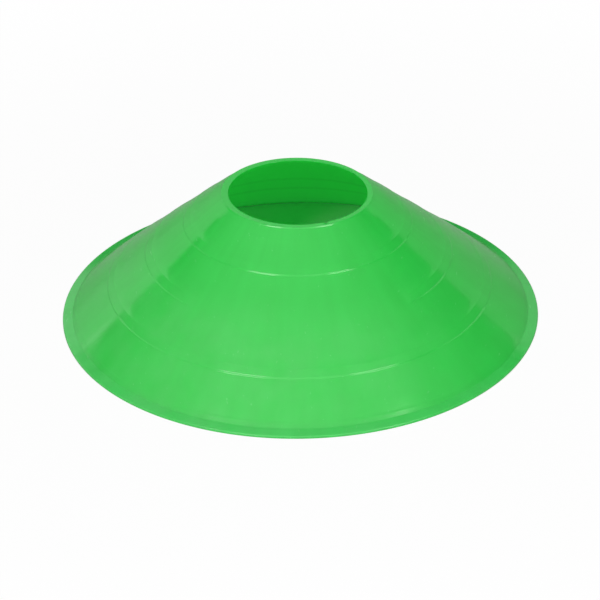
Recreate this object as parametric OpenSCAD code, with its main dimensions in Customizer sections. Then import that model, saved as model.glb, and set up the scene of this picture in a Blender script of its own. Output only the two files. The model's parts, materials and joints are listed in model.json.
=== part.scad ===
// Low disc cone for marking out a pitch: one injection moulding in soft green polyethylene.
// The origin is at the middle of the foot, on the floor. +Z is up and -Y is the front,
// where the second step ring stops short of a smooth panel. All lengths are in millimetres.

/* [Overall] */
// Diameter over the foot flange
base_d = 190; // [160:1:230]
// Height from the floor to the top of the rim
height = 53.4; // [42:0.1:75]
// Clear diameter of the round opening at the top
opening_d = 54.4; // [44:0.1:66]

/* [Wall] */
// Thickness of the sloping wall, measured square to it
wall_t = 1.6; // [1.2:0.1:2.2]

/* [Rim] */
// Width from the opening to the line of the wall, measured at the top
rim_w = 1.2; // [1.2:0.05:2]
// How far the rim's lip stands out past the line of the wall
lip_w = 1; // [0.8:0.05:1.6]
// Radial width of the steep drop from the lip to the wall
lip_drop = 0.65; // [0.5:0.05:1]
// Radius of the rounding over the lip
lip_round = 1.7; // [0.8:0.05:1.85]
// Radius of the rounding on the inner edge of the rim
rim_inner_round = 0.95; // [0.5:0.05:0.95]
// Height of the straight land inside the rim
land_h = 1.2; // [0.8:0.1:2]
// Height over which the thickened rim runs out into the wall
taper_h = 2.6; // [1.8:0.1:4]

/* [Step rings] */
// Number of step rings around the wall
ring_count = 3; // [1:1:4]
// Radial width of a ring's band, from its upper line to its lower edge
ring_w = 2.6; // [1.6:0.1:4]
// Radial width of the gentle ramp that leads up to the band
ring_ramp = 2.3; // [1.5:0.1:3.5]
// How far the band stands proud of the wall
ring_rise = 0.3; // [0.2:0.05:0.6]
// Radial width of the short drop below the band's lower edge
ring_drop = 0.35; // [0.3:0.05:0.8]

/* [Front panel] */
// Step ring that stops short of the smooth front panel, counted from the top
panel_ring = 2; // [1:1:3]
// Angle that the smooth front panel takes out of that ring
panel_angle = 88; // [30:1:120]

/* [Foot] */
// Radial width of the flat flange that the cone stands on
flange_w = 4.6; // [3:0.1:8]
// Thickness of the flange
flange_t = 1.6; // [1.2:0.1:2.4]
// Height of the steep heel between the flange and the wall
heel_h = 2; // [1:0.1:3]
// Radial width of the heel
heel_w = 1.4; // [0.8:0.1:2]

/* [Hidden] */
$fn = 180;
cone_green = "#4fcf64";
arc_steps = 6;
front_angle = -90;
full_turn = 360;
right_angle = 90;

base_r = base_d / 2;
opening_r = opening_d / 2;
flange_edge_r = flange_t / 2;

// The wall is a straight cone from the top of the rim to the ridge above the heel
rim_r = opening_r + rim_w;
heel_r = base_r - flange_w;
ridge_r = heel_r - heel_w;
ridge_z = flange_t + heel_h;
wall_run = ridge_r - rim_r;
wall_fall = height - ridge_z;
wall_slope = atan(wall_fall / wall_run);
wall_across = wall_t / sin(wall_slope);

// Height of the wall's outer face at a radius, and its radius at a height
function wall_z(r) = height - (r - rim_r) * wall_fall / wall_run;
function wall_r(z) = rim_r + (height - z) * wall_run / wall_fall;

// Point on the wall's outer face, moved square out of it
function off_wall(r, out) = [r + out * sin(wall_slope), wall_z(r) + out * cos(wall_slope)];

// The lip stands out past the wall's line and drops steeply to the wall's face
lip_r = rim_r + lip_w;
lip_foot_r = lip_r + lip_drop;
lip_slope = atan((height - wall_z(lip_foot_r)) / lip_drop);
land_top_z = height - rim_inner_round;
land_foot_z = land_top_z - land_h;
taper_foot_z = land_foot_z - taper_h;

// Equal bands of wall lie between the lip, the rings and the ridge
ring_step = ring_w + ring_drop;
band_w = (ridge_r - lip_r - ring_count * ring_step) / (ring_count + 1);

// Points of an arc about a centre, from one angle to another
function arc(centre, r, from, to) = [
    for (i = [0 : arc_steps])
        let (a = from + (to - from) * i / arc_steps)
            centre + r * [cos(a), sin(a)]
];

// Outline of the flange: flat underneath, with a fully rounded outer edge
function flange_outline() = concat(
    [[wall_r(0) - wall_across, 0]],
    arc([base_r - flange_edge_r, flange_edge_r], flange_edge_r, -right_angle, right_angle),
    [[heel_r, flange_t], [ridge_r, ridge_z]]
);

// Outline of the rim: up the drop, over the rounded lip, and down a straight land
// that faces the opening
function rim_outline() =
    let (lip_centre_r = lip_r - lip_round * tan(lip_slope / 2))
    concat(
        [[lip_foot_r, wall_z(lip_foot_r)]],
        arc([lip_centre_r, height - lip_round], lip_round, right_angle - lip_slope, right_angle),
        arc([opening_r + rim_inner_round, land_top_z], rim_inner_round,
            right_angle, 2 * right_angle),
        [[opening_r, land_foot_z], [wall_r(taper_foot_z) - wall_across, taper_foot_z]]
    );

// Sloping wall with its rim and foot, all one skin
module wall() {
    rotate_extrude()
        polygon(concat(flange_outline(), rim_outline()));
}

// Low band with a gentle ramp above it and a sharp drop below. Its outline goes as deep into
// the wall as it stands proud of it, so that its faces cross the wall's face cleanly.
module step_ring(upper_r, gap) {
    lower_r = upper_r + ring_w;
    rotate([0, 0, front_angle + gap / 2])
        rotate_extrude(angle = full_turn - gap)
            polygon([
                off_wall(upper_r - 2 * ring_ramp, -ring_rise),
                off_wall(lower_r + 2 * ring_drop, -ring_rise),
                off_wall(lower_r, ring_rise),
                off_wall(upper_r, ring_rise)
            ]);
}

// The whole moulding: the real cone has no other piece
module cone_shell() {
    color(cone_green) {
        wall();
        for (k = [1 : ring_count])
            step_ring(lip_r + k * band_w + (k - 1) * ring_step, k == panel_ring ? panel_angle : 0);
    }
}

cone_shell();
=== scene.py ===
# Low disc cone for marking out a pitch, one moulding in soft green polyethylene.
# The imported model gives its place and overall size. This script dresses it: the moulded
# section with its rim, step rings and foot, the plastic, the floor, the light and the camera.
import json
import math

import bmesh
import bpy
from mathutils import Matrix, Vector


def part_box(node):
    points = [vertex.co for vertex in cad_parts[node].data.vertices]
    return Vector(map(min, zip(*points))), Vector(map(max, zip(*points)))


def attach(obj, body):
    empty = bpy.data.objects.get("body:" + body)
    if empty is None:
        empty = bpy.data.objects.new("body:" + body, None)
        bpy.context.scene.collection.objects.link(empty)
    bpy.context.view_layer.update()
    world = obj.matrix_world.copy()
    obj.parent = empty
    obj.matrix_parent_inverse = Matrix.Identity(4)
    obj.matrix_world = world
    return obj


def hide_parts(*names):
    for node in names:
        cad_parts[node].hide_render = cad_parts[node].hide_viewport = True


mm = 0.001  # the scene is in metres, and sizes here are in millimetres

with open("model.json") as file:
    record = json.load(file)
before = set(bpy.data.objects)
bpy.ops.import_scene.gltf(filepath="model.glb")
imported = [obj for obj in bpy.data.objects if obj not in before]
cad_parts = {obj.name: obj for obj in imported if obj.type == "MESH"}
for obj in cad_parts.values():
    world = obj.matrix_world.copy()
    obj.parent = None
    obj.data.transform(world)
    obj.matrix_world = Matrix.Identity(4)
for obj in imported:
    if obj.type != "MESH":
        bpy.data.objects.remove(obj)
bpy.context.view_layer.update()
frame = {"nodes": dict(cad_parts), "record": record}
print("loaded the frame:", sorted(frame["nodes"]))


def hexToLinear(text):
    # sRGB hex to the linear colour that the sockets take
    channels = [int(text[i:i + 2], 16) / 255 for i in (1, 3, 5)]
    return [c / 12.92 if c <= 0.04045 else ((c + 0.055) / 1.055) ** 2.4 for c in channels] + [1]


def addNode(tree, kind, settings=None, inputs=None):
    # one node: its own settings first, then each input as a value or as a link from a socket.
    # On a Mix node input 0 is the factor, 2 and 3 are its two numbers, and 6 and 7 its two colours.
    node = tree.nodes.new(kind)
    for name, value in (settings or {}).items():
        setattr(node, name, value)
    for name, value in (inputs or {}).items():
        if isinstance(value, bpy.types.NodeSocket):
            tree.links.new(value, node.inputs[name])
        else:
            node.inputs[name].default_value = value
    return node


def direction(azimuth, elevation):
    # toward an azimuth from +X and an elevation, in degrees
    a, e = math.radians(azimuth), math.radians(elevation)
    return Vector((math.cos(e) * math.cos(a), math.cos(e) * math.sin(a), math.sin(e)))


def seenByEye(tree, rays):
    # what the camera sees, straight or through glass. Light that the plastic lets through counts
    # as transmission and as diffuse, and it has to see the studio.
    glass = addNode(tree, "ShaderNodeMath", {"operation": "SUBTRACT", "use_clamp": True},
                    {0: rays.outputs["Is Transmission Ray"], 1: rays.outputs["Is Diffuse Ray"]})
    return addNode(tree, "ShaderNodeMath", {"operation": "MAXIMUM"},
                   {0: rays.outputs["Is Camera Ray"], 1: glass.outputs[0]})


def newMaterial(name):
    material = bpy.data.materials.new(name)
    material.use_nodes = True
    material.node_tree.nodes.clear()
    return material


# The camera stands where the photograph was taken from, with its right side a little down
camera = {
    "target": (-0.08, 0, 3.32),
    "distance": 860.7,
    "elevation": 30.186,
    "roll": -0.869,
    "focalPixels": 2146.4,  # in a frame 600 pixels wide
    "framePixels": 600,
    "sensor": 36,
    "clip": (10, 100000),
}


def placeCamera():
    data = bpy.data.cameras.new("camera")
    data.sensor_width = camera["sensor"]
    data.lens = camera["focalPixels"] / camera["framePixels"] * camera["sensor"]
    data.clip_start, data.clip_end = [distance * mm for distance in camera["clip"]]
    piece = bpy.data.objects.new("camera", data)
    rise = math.radians(camera["elevation"])
    back = Vector((0, -math.cos(rise), math.sin(rise)))
    turn = Matrix.Rotation(math.radians(90 - camera["elevation"]), 4, "X")
    roll = Matrix.Rotation(math.radians(camera["roll"]), 4, "Z")
    place = Matrix.Translation((Vector(camera["target"]) + back * camera["distance"]) * mm)
    piece.matrix_world = place @ turn @ roll
    bpy.context.scene.collection.objects.link(piece)
    bpy.context.scene.camera = piece


placeCamera()
print("placed the camera")

# Sizes of the moulding in millimetres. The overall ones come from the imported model.
lowCorner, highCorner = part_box("cone_shell")
openingMount = [m for m in frame["record"]["mounts"] if m["name"] == "top_opening"][0]
cone = {
    "baseR": max(highCorner.x, -lowCorner.x) / mm,
    "height": highCorner.z / mm,
    "openingR": openingMount["dims"]["r_mm"],
    "wall": 1.6,
    "wallTopR": 28.4,  # the wall's line runs from this radius at the full height
    "wallFootR": 89.0,  # down to this one
    "wallFootZ": 3.6,
    "spinSteps": 360,
    "longestStretch": 3.6,  # a longer stretch of the outline is split
    "guardedStretch": 0.48,  # a longer stretch gets a guard point by each end
    "guard": 0.12,
    "mergeWithin": 0.001,
    "sortAlong": (1, 0.1, 0.01),  # a slant on which no two points fall together
}
# Each rounding is its radius and its steps
rim = {
    "topDrop": 1.15,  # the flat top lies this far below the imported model's height
    "edgeIn": 0.5,  # its inner edge stands in from the bore
    "edgeRound": (0.3, 6),
    "crownR": 29.6,
    "crownRound": (0.3, 12),
    "footR": 30.15,
    "footRound": (0.4, 6),
    "dip": 0.24,  # the wall runs in low below the rim
    "dipMidShare": 0.45,  # what is left of the dip halfway to its end
    "dipEndR": 34.0,
    "nickAngle": -67.0,  # azimuth of a small nick in the inner edge
    "nickSpread": 2.4,  # degrees to each side
    "nickDepth": 0.6,
    "nickReach": 1,  # how far from the edge the skin sinks with it
}
ring = {
    "crestR": (42.05, 57.7, 73.35),
    "width": 2.6,
    "rise": 0.17,
    "rampRun": 2.4,
    "rampPoints": 5,
    "crestRound": (0.35, 4),
    "edgeRise": 0.15,  # the band falls a little to its lower edge
    "edgeRound": (1.2, 8),
    "drop": 0.42,
    "footRound": (1.0, 4),
    "panelRing": 1,  # the second ring from the top stops at the smooth front panel
    "panelAngle": 88,
    "panelFade": 2.2,  # degrees over which it runs out
    "panelMargins": (0.2, 0.4),  # laid flat this far past the ramp and past the drop
}
foot = {
    "beadStartR": 88.95,  # a faint bead where the wall reaches the flange
    "beadTopR": 89.5,
    "beadRise": 0.03,
    "beadRound": (0.4, 4),
    "flangeR": 91.0,  # the wall turns into the flange here
    "flangeStartRound": (0.9, 8),
    "flangeEdgeZ": 1.1,  # the flange falls gently to its edge
    "upperEdgeRound": (0.6, 10),
    "lowerEdgeRound": (0.45, 8),
    "edgeReach": 1.5,  # how far in the rounded edge counts as outside skin
    "undersideZ": 0.1,  # and the flat underside too, up to here
}

wallSlope = math.atan2(cone["height"] - cone["wallFootZ"], cone["wallFootR"] - cone["wallTopR"])
wallAcross = cone["wall"] / math.sin(wallSlope)


def wallZ(r):
    # height of the plain wall's outer line at a radius
    return cone["height"] - (r - cone["wallTopR"]) * math.tan(wallSlope)


def offWall(r, out):
    # a point that far square out of the wall's line
    return r + out * math.sin(wallSlope), wallZ(r) + out * math.cos(wallSlope)


def rimCorners():
    # up to the inner edge, across the flat top, over the crown's edge and down to the wall
    top = cone["height"] - rim["topDrop"]
    return [
        ((cone["openingR"] - rim["edgeIn"], top), rim["edgeRound"]),
        ((rim["crownR"], top), rim["crownRound"]),
        (offWall(rim["footR"], -rim["dip"]), rim["footRound"]),
        (offWall((rim["footR"] + rim["dipEndR"]) / 2, -rim["dip"] * rim["dipMidShare"]), None),
        (offWall(rim["dipEndR"], 0), None),
    ]


def ringCorners(crestR):
    # a hollow ramp up to a crisp crest, a flat band and a rounded lower edge
    lowerR = crestR + ring["width"]
    corners = []
    for i in range(ring["rampPoints"]):
        share = i / ring["rampPoints"]
        corners.append((offWall(crestR - ring["rampRun"] * (1 - share), ring["rise"] * share ** 2), None))
    return corners + [
        (offWall(crestR, ring["rise"]), ring["crestRound"]),
        (offWall(lowerR, ring["edgeRise"]), ring["edgeRound"]),
        (offWall(lowerR + ring["drop"], 0), ring["footRound"]),
    ]


def footCorners():
    # faint bead, flange with a rounded edge, and the flat underside
    innerFootR = cone["wallTopR"] + cone["height"] / math.tan(wallSlope) - wallAcross
    return [
        (offWall(foot["beadStartR"], 0), foot["beadRound"]),
        (offWall(foot["beadTopR"], foot["beadRise"]), foot["beadRound"]),
        (offWall(foot["flangeR"], 0), foot["flangeStartRound"]),
        ((cone["baseR"], foot["flangeEdgeZ"]), foot["upperEdgeRound"]),
        ((cone["baseR"], 0), foot["lowerEdgeRound"]),
        ((innerFootR, 0), None),
    ]


def roundCorner(bm, vert, radius, steps):
    # cuts the corner back so that the bevel is an arc of that radius
    a, b = [(e.other_vert(vert).co - vert.co).normalized() for e in vert.link_edges]
    cut = radius * mm / math.tan(a.angle(b) / 2)
    bmesh.ops.bevel(bm, geom=[vert], offset=cut, offset_type="OFFSET", segments=steps,
                    profile=0.5, affect="VERTICES", clamp_overlap=False, material=-1)


def splitStretches(bm):
    # long straight stretches get a guard point by each corner, so that smooth shading stays flat
    # between them, and are then split evenly
    guard, guarded, longest = [cone[key] * mm for key in ("guard", "guardedStretch", "longestStretch")]
    for edge in [e for e in bm.edges if e.calc_length() > guarded]:
        vert = bmesh.utils.edge_split(edge, edge.verts[0], guard / edge.calc_length())[1]
        longPart = max(vert.link_edges, key=lambda e: e.calc_length())
        bmesh.utils.edge_split(longPart, longPart.other_vert(vert), guard / longPart.calc_length())
    for edge in [e for e in bm.edges if e.calc_length() > longest]:
        bmesh.ops.subdivide_edges(bm, edges=[edge], cuts=int(edge.calc_length() / longest))


def drawSection(bm):
    # the closed outline that is spun: the outer face from the rim down to the foot, and the
    # straight inner face back up
    corners = rimCorners()
    for crestR in ring["crestR"]:
        corners += ringCorners(crestR)
    corners += footCorners()
    verts = [bm.verts.new((r * mm, 0, z * mm)) for (r, z), rounding in corners]
    for a, b in zip(verts, verts[1:] + verts[:1]):
        bm.edges.new((a, b))
    for vert, (point, rounding) in zip(verts, corners):
        if rounding:
            roundCorner(bm, vert, *rounding)
    splitStretches(bm)


def smoothShare(x):
    x = min(max(x, 0), 1)
    return x * x * (3 - 2 * x)


def clearPanel(bm):
    # the panel's ring stops short of the smooth front, so its bump is laid flat there
    crestR, (above, below) = ring["crestR"][ring["panelRing"]], ring["panelMargins"]
    low, high = crestR - ring["rampRun"] - above, crestR + ring["width"] + ring["drop"] + below
    for vert in bm.verts:
        r, z = math.hypot(vert.co.x, vert.co.y) / mm, vert.co.z / mm
        out = (z - wallZ(r)) * math.cos(wallSlope)
        if low < r < high and abs(out) < cone["wall"] / 2:
            away = abs(math.degrees(math.atan2(vert.co.x, -vert.co.y)))
            keep = smoothShare((away - ring["panelAngle"] / 2) / ring["panelFade"] + 0.5)
            radial = Vector((vert.co.x, vert.co.y, 0)).normalized()
            square = radial * math.sin(wallSlope) + Vector((0, 0, math.cos(wallSlope)))
            vert.co -= square * out * (1 - keep) * mm


def cutNick(bm):
    bottom = cone["height"] - rim["topDrop"] - rim["nickReach"]
    for vert in bm.verts:
        r, z = math.hypot(vert.co.x, vert.co.y) / mm, vert.co.z / mm
        if r < cone["openingR"] + rim["nickReach"] and z > bottom:
            across = abs(math.degrees(math.atan2(vert.co.y, vert.co.x)) - rim["nickAngle"])
            vert.co.z -= rim["nickDepth"] * mm * smoothShare(1 - across / rim["nickSpread"])


# The soft cone stands a little askew, more so toward the rim, and its opening is a little off centre
soft = {
    "tilt": -0.0139,  # rise toward +X at the full height, per unit of length
    "shift": -0.67,  # along X at the full height
    "openingShift": 0.38,  # of the inner edge, along X
    "openingFade": 2,  # how far from the crown and from the top that fades out
}


def standAskew(bm):
    top, crownR, fade = cone["height"] - rim["topDrop"], rim["crownR"], soft["openingFade"]
    for vert in bm.verts:
        r, z = math.hypot(vert.co.x, vert.co.y) / mm, vert.co.z / mm
        inner = smoothShare((crownR - r) / fade) * smoothShare((z - top) / fade + 1)
        vert.co.x += soft["openingShift"] * mm * inner
        share = vert.co.z / (cone["height"] * mm)
        vert.co.z += soft["tilt"] * vert.co.x * share
        vert.co.x += soft["shift"] * mm * share


def markInnerSkin(bm):
    # the faces that look down inside the cone, and aren't its flat foot, get the second material
    edgeR = cone["baseR"] - foot["edgeReach"]
    bm.normal_update()
    for face in bm.faces:
        middle = face.calc_center_median()
        r, z = math.hypot(middle.x, middle.y) / mm, middle.z / mm
        face.material_index = int(face.normal.z < 0 and z > foot["undersideZ"] and r < edgeR)


def fixOrder(bm):
    # spin and merge leave points and faces in any order, and every run has to give the same mesh
    slant = Vector(cone["sortAlong"])
    bm.verts.sort(key=lambda vert: vert.co.dot(slant))
    bm.faces.sort(key=lambda face: face.calc_center_median().dot(slant))


def makeCone():
    bm = bmesh.new()
    drawSection(bm)
    bmesh.ops.spin(bm, geom=bm.verts[:] + bm.edges[:], cent=(0, 0, 0), axis=(0, 0, 1),
                   angle=math.tau, steps=cone["spinSteps"], space=Matrix(), use_merge=True)
    bmesh.ops.remove_doubles(bm, verts=bm.verts[:], dist=cone["mergeWithin"] * mm)
    clearPanel(bm)
    cutNick(bm)
    standAskew(bm)
    bmesh.ops.recalc_face_normals(bm, faces=bm.faces[:])
    fixOrder(bm)
    markInnerSkin(bm)
    mesh = bpy.data.meshes.new("marker_cone")
    bm.to_mesh(mesh)
    bm.free()
    mesh.shade_smooth()
    piece = bpy.data.objects.new("marker_cone", mesh)
    bpy.context.scene.collection.objects.link(piece)
    return piece


# Low-density polyethylene, injection moulded: a soft waxy green under a smooth skin with a clean
# gloss. Its thin wall lets part of the light through, so the inside glows. The melt ran outward
# from the rim and left faint spokes in the colour, the cooled skin is a little wavy, and use has
# left short scuffs. A pale tint toward the foot, strongest on the left front, is painted sheen.
plastic = {
    "deep": "#3ADC58",  # what comes back, before the share that goes through
    "pale": "#3FE45F",
    # the pale tint: it paints a sheen toward the foot, and the scuffs show it too
    "sheenAndScuffTint": "#D8F0DC",
    "gloss": 0.6,  # a little over the default, because part of the mix has no gloss
    "ior": 1.51,
    "roughness": (0.095, 0.135),  # where the colour is deep and where it is pale
    "toneSpan": (0.35, 0.65),  # nearly all of the melt's pattern lies in this span
    "spokeWidth": 5,
    "spokeRadius": 60,  # where a spoke is as wide as that
    "spokeDrift": 0.12,  # how fast a spoke changes along its length
    "mottleSize": 13,
    "mottleShare": 0.5,  # the rest is spokes
    "sheenPatchSize": 11,
    "sheenSpan": (0.3, 0.7),  # the painted sheen's patches run from none to full in this span
    "sheenRadii": (50, 68),  # it grows between these two
    "sheenSide": -135,  # azimuth of the side where the painted sheen is strongest, toward the left softbox
    "sheenLeast": 0.4,
    "sheenShare": 0.06,
    "haze": (0.12, 0.45),  # a weak, wide sheen over the gloss, from no painted sheen to its full strength
    "hazeRoughness": 0.4,
    "scuffCell": 1,  # a scuff is about half as wide, a little coarser than real ones, to show
    "scuffTurn": (0.2, 0.3, 0.5),  # in radians
    "scuffStretch": 0.12,
    "scuffSpan": (0.71, 0.79),
    "scuffShare": 0.1,
    "scuffRoughness": 0.2,  # added where a scuff is full
    "waveSize": 17,
    "waveDepth": 0.07,
    "peelSize": 1.6,
    "peelDepth": 0.004,
    "flangeFade": 0.5,  # how far into the flange its lower share of through light is reached
}
# The wall has two skins, and the inner one passes nearly all that the outer one lets in. The
# flange lies on the ground and lets less through.
skins = {
    "moulded_polyethylene_green": {"through": "#9AFFB6", "share": 0.355, "flangeShare": 0.22},
    "moulded_polyethylene_green_inside": {"through": "#65FA86", "dim": "#62F382", "share": 0.95},
}
# Inside, the light that comes through is slightly dimmer in two rings
dimRings = {"middleR": 59.9, "apart": 14.2, "width": 3}


def meltPattern(tree, place, radial):
    # spokes that keep their angle at every radius and drift slowly along it, and a soft mottle
    drift = addNode(tree, "ShaderNodeVectorMath", {"operation": "SCALE"},
                    {0: place, "Scale": plastic["spokeDrift"]})
    spoke = addNode(tree, "ShaderNodeVectorMath", {"operation": "MULTIPLY_ADD"}, {
        0: radial,
        1: [plastic["spokeRadius"] * mm] * 3,
        2: drift.outputs[0],
    })
    spokes = addNode(tree, "ShaderNodeTexNoise",
                     inputs={"Vector": spoke.outputs[0], "Scale": 1 / (plastic["spokeWidth"] * mm)})
    mottle = addNode(tree, "ShaderNodeTexNoise", inputs={
        "Vector": place,
        "Scale": 1 / (plastic["mottleSize"] * mm),
        "Detail": 4,
    })
    melt = addNode(tree, "ShaderNodeMix", {"data_type": "FLOAT"}, {
        0: plastic["mottleShare"],
        2: spokes.outputs["Fac"],
        3: mottle.outputs["Fac"],
    })
    return melt.outputs[0]


def paintedSheenCover(tree, away, radial):
    # the painted sheen lies toward the foot, and is strongest on the lit left front side
    lower = addNode(tree, "ShaderNodeMapRange", {"interpolation_type": "SMOOTHSTEP"}, {
        "Value": away,
        "From Min": plastic["sheenRadii"][0] * mm,
        "From Max": plastic["sheenRadii"][1] * mm,
    })
    side = addNode(tree, "ShaderNodeVectorMath", {"operation": "DOT_PRODUCT"},
                   {0: radial, 1: direction(plastic["sheenSide"], 0)})
    side = addNode(tree, "ShaderNodeMapRange",
                   inputs={"Value": side.outputs["Value"], "To Min": plastic["sheenLeast"]})
    sheenCover = addNode(tree, "ShaderNodeMath", {"operation": "MULTIPLY"},
                    {0: side.outputs["Result"], 1: lower.outputs["Result"]})
    return sheenCover.outputs[0]


def paintedSheenPatches(tree, place, sheenCover):
    # patches of the painted sheen
    patches = addNode(tree, "ShaderNodeTexNoise", inputs={
        "Vector": place,
        "Scale": 1 / (plastic["sheenPatchSize"] * mm),
        "Detail": 5,
        "Roughness": 0.6,
    })
    patches = addNode(tree, "ShaderNodeMapRange", inputs={
        "Value": patches.outputs["Fac"],
        "From Min": plastic["sheenSpan"][0],
        "From Max": plastic["sheenSpan"][1],
    })
    sheenAndScuffTint = addNode(tree, "ShaderNodeMath", {"operation": "MULTIPLY"},
                   {0: patches.outputs["Result"], 1: sheenCover})
    return sheenAndScuffTint.outputs[0]


def scuffMarks(tree, place):
    # short scuffs, all drawn out in one direction
    stretched = addNode(tree, "ShaderNodeMapping", inputs={
        "Vector": place,
        "Rotation": plastic["scuffTurn"],
        "Scale": (1, plastic["scuffStretch"], 1),
    })
    scuffs = addNode(tree, "ShaderNodeTexNoise", inputs={
        "Vector": stretched.outputs[0],
        "Scale": 1 / (plastic["scuffCell"] * mm),
        "Detail": 1,
    })
    scuffs = addNode(tree, "ShaderNodeMapRange", inputs={
        "Value": scuffs.outputs["Fac"],
        "From Min": plastic["scuffSpan"][0],
        "From Max": plastic["scuffSpan"][1],
        "To Max": plastic["scuffShare"],
    })
    return scuffs.outputs["Result"]


def skinColour(tree, melt, sheenAndScuffs):
    tone = addNode(tree, "ShaderNodeMapRange", inputs={
        "Value": melt,
        "From Min": plastic["toneSpan"][0],
        "From Max": plastic["toneSpan"][1],
    })
    colour = addNode(tree, "ShaderNodeMix", {"data_type": "RGBA"}, {
        0: tone.outputs["Result"],
        6: hexToLinear(plastic["deep"]),
        7: hexToLinear(plastic["pale"]),
    })
    # toward the pale tint, where sheen is painted and where there are scuffs
    colour = addNode(tree, "ShaderNodeMix", {"data_type": "RGBA"}, {
        0: sheenAndScuffs,
        6: colour.outputs[2],
        7: hexToLinear(plastic["sheenAndScuffTint"]),
    })
    return colour.outputs[2]


def skinRoughness(tree, melt, scuffs):
    rough = addNode(tree, "ShaderNodeMapRange", inputs={
        "Value": melt,
        "From Min": plastic["toneSpan"][0],
        "From Max": plastic["toneSpan"][1],
        "To Min": plastic["roughness"][0],
        "To Max": plastic["roughness"][1],
    })
    rough = addNode(tree, "ShaderNodeMath", {"operation": "MULTIPLY_ADD"}, {
        0: scuffs,
        1: plastic["scuffRoughness"] / plastic["scuffShare"],
        2: rough.outputs["Result"],
    })
    return rough.outputs[0]


def skinNormal(tree, place):
    # the cooled skin: slow waves, and a fine peel over them
    waves = addNode(tree, "ShaderNodeTexNoise", inputs={
        "Vector": place,
        "Scale": 1 / (plastic["waveSize"] * mm),
        "Detail": 1,
    })
    peel = addNode(tree, "ShaderNodeTexNoise",
                   inputs={"Vector": place, "Scale": 1 / (plastic["peelSize"] * mm), "Detail": 2})
    normal = addNode(tree, "ShaderNodeBump",
                     inputs={"Height": waves.outputs["Fac"], "Distance": plastic["waveDepth"] * mm})
    normal = addNode(tree, "ShaderNodeBump", inputs={
        "Height": peel.outputs["Fac"],
        "Distance": plastic["peelDepth"] * mm,
        "Normal": normal.outputs[0],
    })
    return normal.outputs[0]


def throughColour(tree, away, skin):
    if "dim" not in skin:
        return hexToLinear(skin["through"])
    # how far a point is from the nearer of the two rings
    gap = away
    for radius in (dimRings["middleR"], dimRings["apart"] / 2):
        gap = addNode(tree, "ShaderNodeMath", {"operation": "SUBTRACT"},
                      {0: gap, 1: radius * mm}).outputs[0]
        gap = addNode(tree, "ShaderNodeMath", {"operation": "ABSOLUTE"}, {0: gap}).outputs[0]
    clear = addNode(tree, "ShaderNodeMapRange", {"interpolation_type": "SMOOTHSTEP"},
                    {"Value": gap, "From Max": dimRings["width"] * mm})
    colour = addNode(tree, "ShaderNodeMix", {"data_type": "RGBA"}, {
        0: clear.outputs["Result"],
        6: hexToLinear(skin["dim"]),
        7: hexToLinear(skin["through"]),
    })
    return colour.outputs[2]


def throughShare(tree, away, skin):
    if "flangeShare" not in skin:
        return skin["share"]
    share = addNode(tree, "ShaderNodeMapRange", inputs={
        "Value": away,
        "From Min": foot["flangeR"] * mm,
        "From Max": (foot["flangeR"] + plastic["flangeFade"]) * mm,
        "To Min": skin["share"],
        "To Max": skin["flangeShare"],
    })
    return share.outputs["Result"]


def mouldedPolyethylene(name, skin):
    material = newMaterial(name)
    tree = material.node_tree
    place = addNode(tree, "ShaderNodeTexCoord").outputs["Object"]
    level = addNode(tree, "ShaderNodeVectorMath", {"operation": "MULTIPLY"},
                    {0: place, 1: (1, 1, 0)}).outputs[0]
    away = addNode(tree, "ShaderNodeVectorMath", {"operation": "LENGTH"}, {0: level}).outputs["Value"]
    radial = addNode(tree, "ShaderNodeVectorMath", {"operation": "NORMALIZE"}, {0: level}).outputs[0]
    melt = meltPattern(tree, place, radial)
    sheenCover = paintedSheenCover(tree, away, radial)
    scuffs = scuffMarks(tree, place)
    # the share of pale tint: painted sheen toward the foot, and real scuffs
    sheenAndScuffs = addNode(tree, "ShaderNodeMath", {"operation": "MULTIPLY_ADD"},
                   {0: paintedSheenPatches(tree, place, sheenCover), 1: plastic["sheenShare"], 2: scuffs})
    haze = addNode(tree, "ShaderNodeMapRange",
                   inputs={"Value": sheenCover, "To Min": plastic["haze"][0], "To Max": plastic["haze"][1]})
    normal = skinNormal(tree, place)
    shader = addNode(tree, "ShaderNodeBsdfPrincipled", inputs={
        "Base Color": skinColour(tree, melt, sheenAndScuffs.outputs[0]),
        "Roughness": skinRoughness(tree, melt, scuffs),
        "IOR": plastic["ior"],
        "Specular IOR Level": plastic["gloss"],
        "Coat Weight": haze.outputs["Result"],
        "Coat Roughness": plastic["hazeRoughness"],
        "Normal": normal,
        "Coat Normal": normal,
    })
    glow = addNode(tree, "ShaderNodeBsdfTranslucent", inputs={"Color": throughColour(tree, away, skin)})
    mixed = addNode(tree, "ShaderNodeMixShader", inputs={
        0: throughShare(tree, away, skin),
        1: shader.outputs["BSDF"],
        2: glow.outputs["BSDF"],
    })
    addNode(tree, "ShaderNodeOutputMaterial", inputs={"Surface": mixed.outputs[0]})
    return material


marker = makeCone()
for name, skin in skins.items():
    marker.data.materials.append(mouldedPolyethylene(name, skin))
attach(marker, "root")
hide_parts("cone_shell")
print("made the cone:", len(marker.data.polygons), "faces")

# Pale floor: plain white paper, matt and even. The camera sees it near white, with the cone's own
# shadow kept.
floor = {
    "size": 8000,
    "colour": "#F2F2F2",
    "whiteFrom": 93,  # under the cone, up to this radius, the paper only reflects
    "whiteNear": 0.93,  # just outside it is this far turned to the white page
    "whiteTo": 420,  # and from here on in full
    "inGloss": 0.39,  # the page as the plastic mirrors it
}


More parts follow.
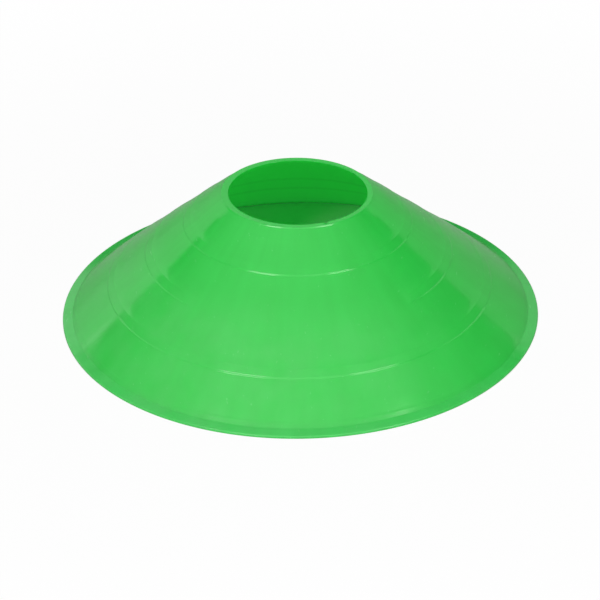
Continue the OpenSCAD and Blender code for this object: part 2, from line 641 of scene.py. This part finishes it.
def makeFloor():
    bm = bmesh.new()
    bmesh.ops.create_grid(bm, x_segments=1, y_segments=1, size=floor["size"] / 2 * mm)
    mesh = bpy.data.meshes.new("floor")
    bm.to_mesh(mesh)
    bm.free()
    piece = bpy.data.objects.new("floor", mesh)
    bpy.context.scene.collection.objects.link(piece)
    material = newMaterial("white_paper")
    tree = material.node_tree
    place = addNode(tree, "ShaderNodeTexCoord")
    away = addNode(tree, "ShaderNodeVectorMath", {"operation": "LENGTH"},
                   {0: place.outputs["Object"]})
    outside = addNode(tree, "ShaderNodeMath", {"operation": "GREATER_THAN"},
                      {0: away.outputs["Value"], 1: floor["whiteFrom"] * mm})
    white = addNode(tree, "ShaderNodeMapRange", {"interpolation_type": "SMOOTHSTEP"}, {
        "Value": away.outputs["Value"],
        "From Min": floor["whiteFrom"] * mm,
        "From Max": floor["whiteTo"] * mm,
        "To Min": floor["whiteNear"],
        "To Max": 1.0,
    })
    rays = addNode(tree, "ShaderNodeLightPath")
    seen = addNode(tree, "ShaderNodeMath", {"operation": "MAXIMUM"},
                   {0: seenByEye(tree, rays).outputs[0], 1: rays.outputs["Is Glossy Ray"]})
    share = addNode(tree, "ShaderNodeMath", {"operation": "MULTIPLY"},
                    {0: outside.outputs[0], 1: white.outputs["Result"]})
    share = addNode(tree, "ShaderNodeMath", {"operation": "MULTIPLY"},
                    {0: share.outputs[0], 1: seen.outputs[0]})
    paper = addNode(tree, "ShaderNodeBsdfDiffuse", inputs={"Color": hexToLinear(floor["colour"])})
    level = addNode(tree, "ShaderNodeMapRange", inputs={
        "Value": rays.outputs["Is Glossy Ray"],
        "To Min": 1.0,
        "To Max": floor["inGloss"],
    })
    page = addNode(tree, "ShaderNodeEmission",
                   inputs={"Color": (1, 1, 1, 1), "Strength": level.outputs["Result"]})
    mixed = addNode(tree, "ShaderNodeMixShader",
                    inputs={0: share.outputs[0], 1: paper.outputs[0], 2: page.outputs[0]})
    addNode(tree, "ShaderNodeOutputMaterial", inputs={"Surface": mixed.outputs[0]})
    mesh.materials.append(material)


makeFloor()
print("laid the floor")

# Studio: a soft dome of light above the front, a white sweep behind the cone, a darker room beside
# it, and two softboxes in front. It is dark where the camera stands and low behind the cone.
# Directions are azimuths from +X and elevations, in degrees.
room = {
    "domeToward": (-115, 69),
    "domeFrom": 0.3,  # cosine of the angle from its middle at which the dome starts
    "dome": 1.085,
    "walls": 0.013,
    "cameraGap": (-90, 41, 14, 24),  # its direction, dark within an angle, full light past another
    "backGap": (90, 8, 15, 19),
    "sweepAzimuths": (39.8, 142.2),
    "sweepRight": 0.525,
    "sweepLeft": 1.065,
    "sweepTop": 35,
    "sweepFade": 27,  # it darkens from here down to the floor
    "sweepFoot": 0.55,
}
softbox = {"elevation": 46, "distance": 800, "width": 285, "height": 190, "radiance": 7}
sideCard = {"elevation": 14, "distance": 900, "width": 1290, "height": 280, "radiance": 0.8,
            "shineOnly": True}
lamps = {
    "left_softbox": {"azimuth": -127, **softbox},
    "right_softbox": {"azimuth": -43, **softbox},
    "front_card": {"azimuth": -90, "elevation": 11, "distance": 420, "width": 460, "height": 150,
                   "radiance": 1.25},
    # cards over the camera and at both sides, for the shine of the ring edges only
    "camera_card": {"azimuth": -90, "elevation": 44, "distance": 900, "width": 600, "height": 440,
                    "radiance": 1.6, "shineOnly": True},
    "left_card": {"azimuth": -179, **sideCard},
    "right_card": {"azimuth": -1, **sideCard},
}


def makeLamps():
    for name, lamp in lamps.items():
        data = bpy.data.lights.new(name, "AREA")
        data.shape = "RECTANGLE"
        data.size, data.size_y = lamp["width"] * mm, lamp["height"] * mm
        data.energy = lamp["radiance"] * math.pi * data.size * data.size_y
        piece = bpy.data.objects.new(name, data)
        out = direction(lamp["azimuth"], lamp["elevation"])
        piece.location = out * lamp["distance"] * mm
        piece.rotation_mode = "QUATERNION"
        piece.rotation_quaternion = out.to_track_quat("Z", "Y")
        piece.visible_camera = False
        piece.visible_diffuse = piece.visible_transmission = not lamp.get("shineOnly", False)
        bpy.context.scene.collection.objects.link(piece)


def lightPastGap(tree, toward, azimuth, elevation, dark, light):
    # none within the dark angle of that direction, and full past the light one
    facing = addNode(tree, "ShaderNodeVectorMath", {"operation": "DOT_PRODUCT"},
                     {0: toward, 1: direction(azimuth, elevation)})
    past = addNode(tree, "ShaderNodeMapRange", {"interpolation_type": "SMOOTHSTEP"}, {
        "Value": facing.outputs["Value"],
        "From Min": math.cos(math.radians(dark)),
        "From Max": math.cos(math.radians(light)),
    })
    return past.outputs["Result"]


def softDome(tree, toward):
    near = addNode(tree, "ShaderNodeVectorMath", {"operation": "DOT_PRODUCT"},
                   {0: toward, 1: direction(*room["domeToward"])})
    dome = addNode(tree, "ShaderNodeMapRange", inputs={
        "Value": near.outputs["Value"],
        "From Min": room["domeFrom"],
        "To Min": room["walls"],
        "To Max": room["dome"],
    })
    dome = addNode(tree, "ShaderNodeMath", {"operation": "MULTIPLY"},
                   {0: dome.outputs["Result"], 1: lightPastGap(tree, toward, *room["cameraGap"])})
    return dome.outputs[0]


def whiteSweep(tree, toward, turn, rise):
    # brighter on the left, and fading toward the floor
    across = addNode(tree, "ShaderNodeMapRange", inputs={
        "Value": turn,
        "From Min": math.radians(room["sweepAzimuths"][0]),
        "From Max": math.radians(room["sweepAzimuths"][1]),
        "To Min": room["sweepRight"],
        "To Max": room["sweepLeft"],
    })
    upward = addNode(tree, "ShaderNodeMapRange", inputs={
        "Value": rise,
        "From Max": math.radians(room["sweepFade"]),
        "To Min": room["sweepFoot"],
    })
    sweep = addNode(tree, "ShaderNodeMath", {"operation": "MULTIPLY"},
                    {0: across.outputs["Result"], 1: upward.outputs["Result"]})
    sweep = addNode(tree, "ShaderNodeMath", {"operation": "MULTIPLY"},
                    {0: sweep.outputs[0], 1: lightPastGap(tree, toward, *room["backGap"])})
    return sweep.outputs[0]


def insideSweep(tree, turn, rise):
    # 1 between the sweep's two sides and below its top
    inside = 1
    for operation, angle, limit in (
        ("GREATER_THAN", turn, room["sweepAzimuths"][0]),
        ("LESS_THAN", turn, room["sweepAzimuths"][1]),
        ("LESS_THAN", rise, room["sweepTop"]),
    ):
        within = addNode(tree, "ShaderNodeMath", {"operation": operation},
                         {0: angle, 1: math.radians(limit)})
        inside = addNode(tree, "ShaderNodeMath", {"operation": "MULTIPLY"},
                         {0: inside, 1: within.outputs[0]}).outputs[0]
    return inside


def makeWorld():
    world = bpy.data.worlds.new("studio")
    bpy.context.scene.world = world
    world.use_nodes = True
    tree = world.node_tree
    tree.nodes.clear()
    toward = addNode(tree, "ShaderNodeTexCoord").outputs["Generated"]
    parts = addNode(tree, "ShaderNodeSeparateXYZ", inputs={0: toward})
    turn = addNode(tree, "ShaderNodeMath", {"operation": "ARCTAN2"},
                   {0: parts.outputs["Y"], 1: parts.outputs["X"]}).outputs[0]
    rise = addNode(tree, "ShaderNodeMath", {"operation": "ARCSINE"}, {0: parts.outputs["Z"]}).outputs[0]
    strength = addNode(tree, "ShaderNodeMix", {"data_type": "FLOAT"}, {
        0: insideSweep(tree, turn, rise),
        2: softDome(tree, toward),
        3: whiteSweep(tree, toward, turn, rise),
    })
    studio = addNode(tree, "ShaderNodeBackground",
                     inputs={"Color": (1, 1, 1, 1), "Strength": strength.outputs[0]})
    page = addNode(tree, "ShaderNodeBackground", inputs={"Color": (1, 1, 1, 1), "Strength": 1})
    seen = seenByEye(tree, addNode(tree, "ShaderNodeLightPath"))
    mixed = addNode(tree, "ShaderNodeMixShader",
                    inputs={0: seen.outputs[0], 1: studio.outputs[0], 2: page.outputs[0]})
    addNode(tree, "ShaderNodeOutputWorld", inputs={"Surface": mixed.outputs[0]})


makeLamps()
makeWorld()
bpy.context.scene.view_settings.view_transform = "Standard"
print("set up the studio")
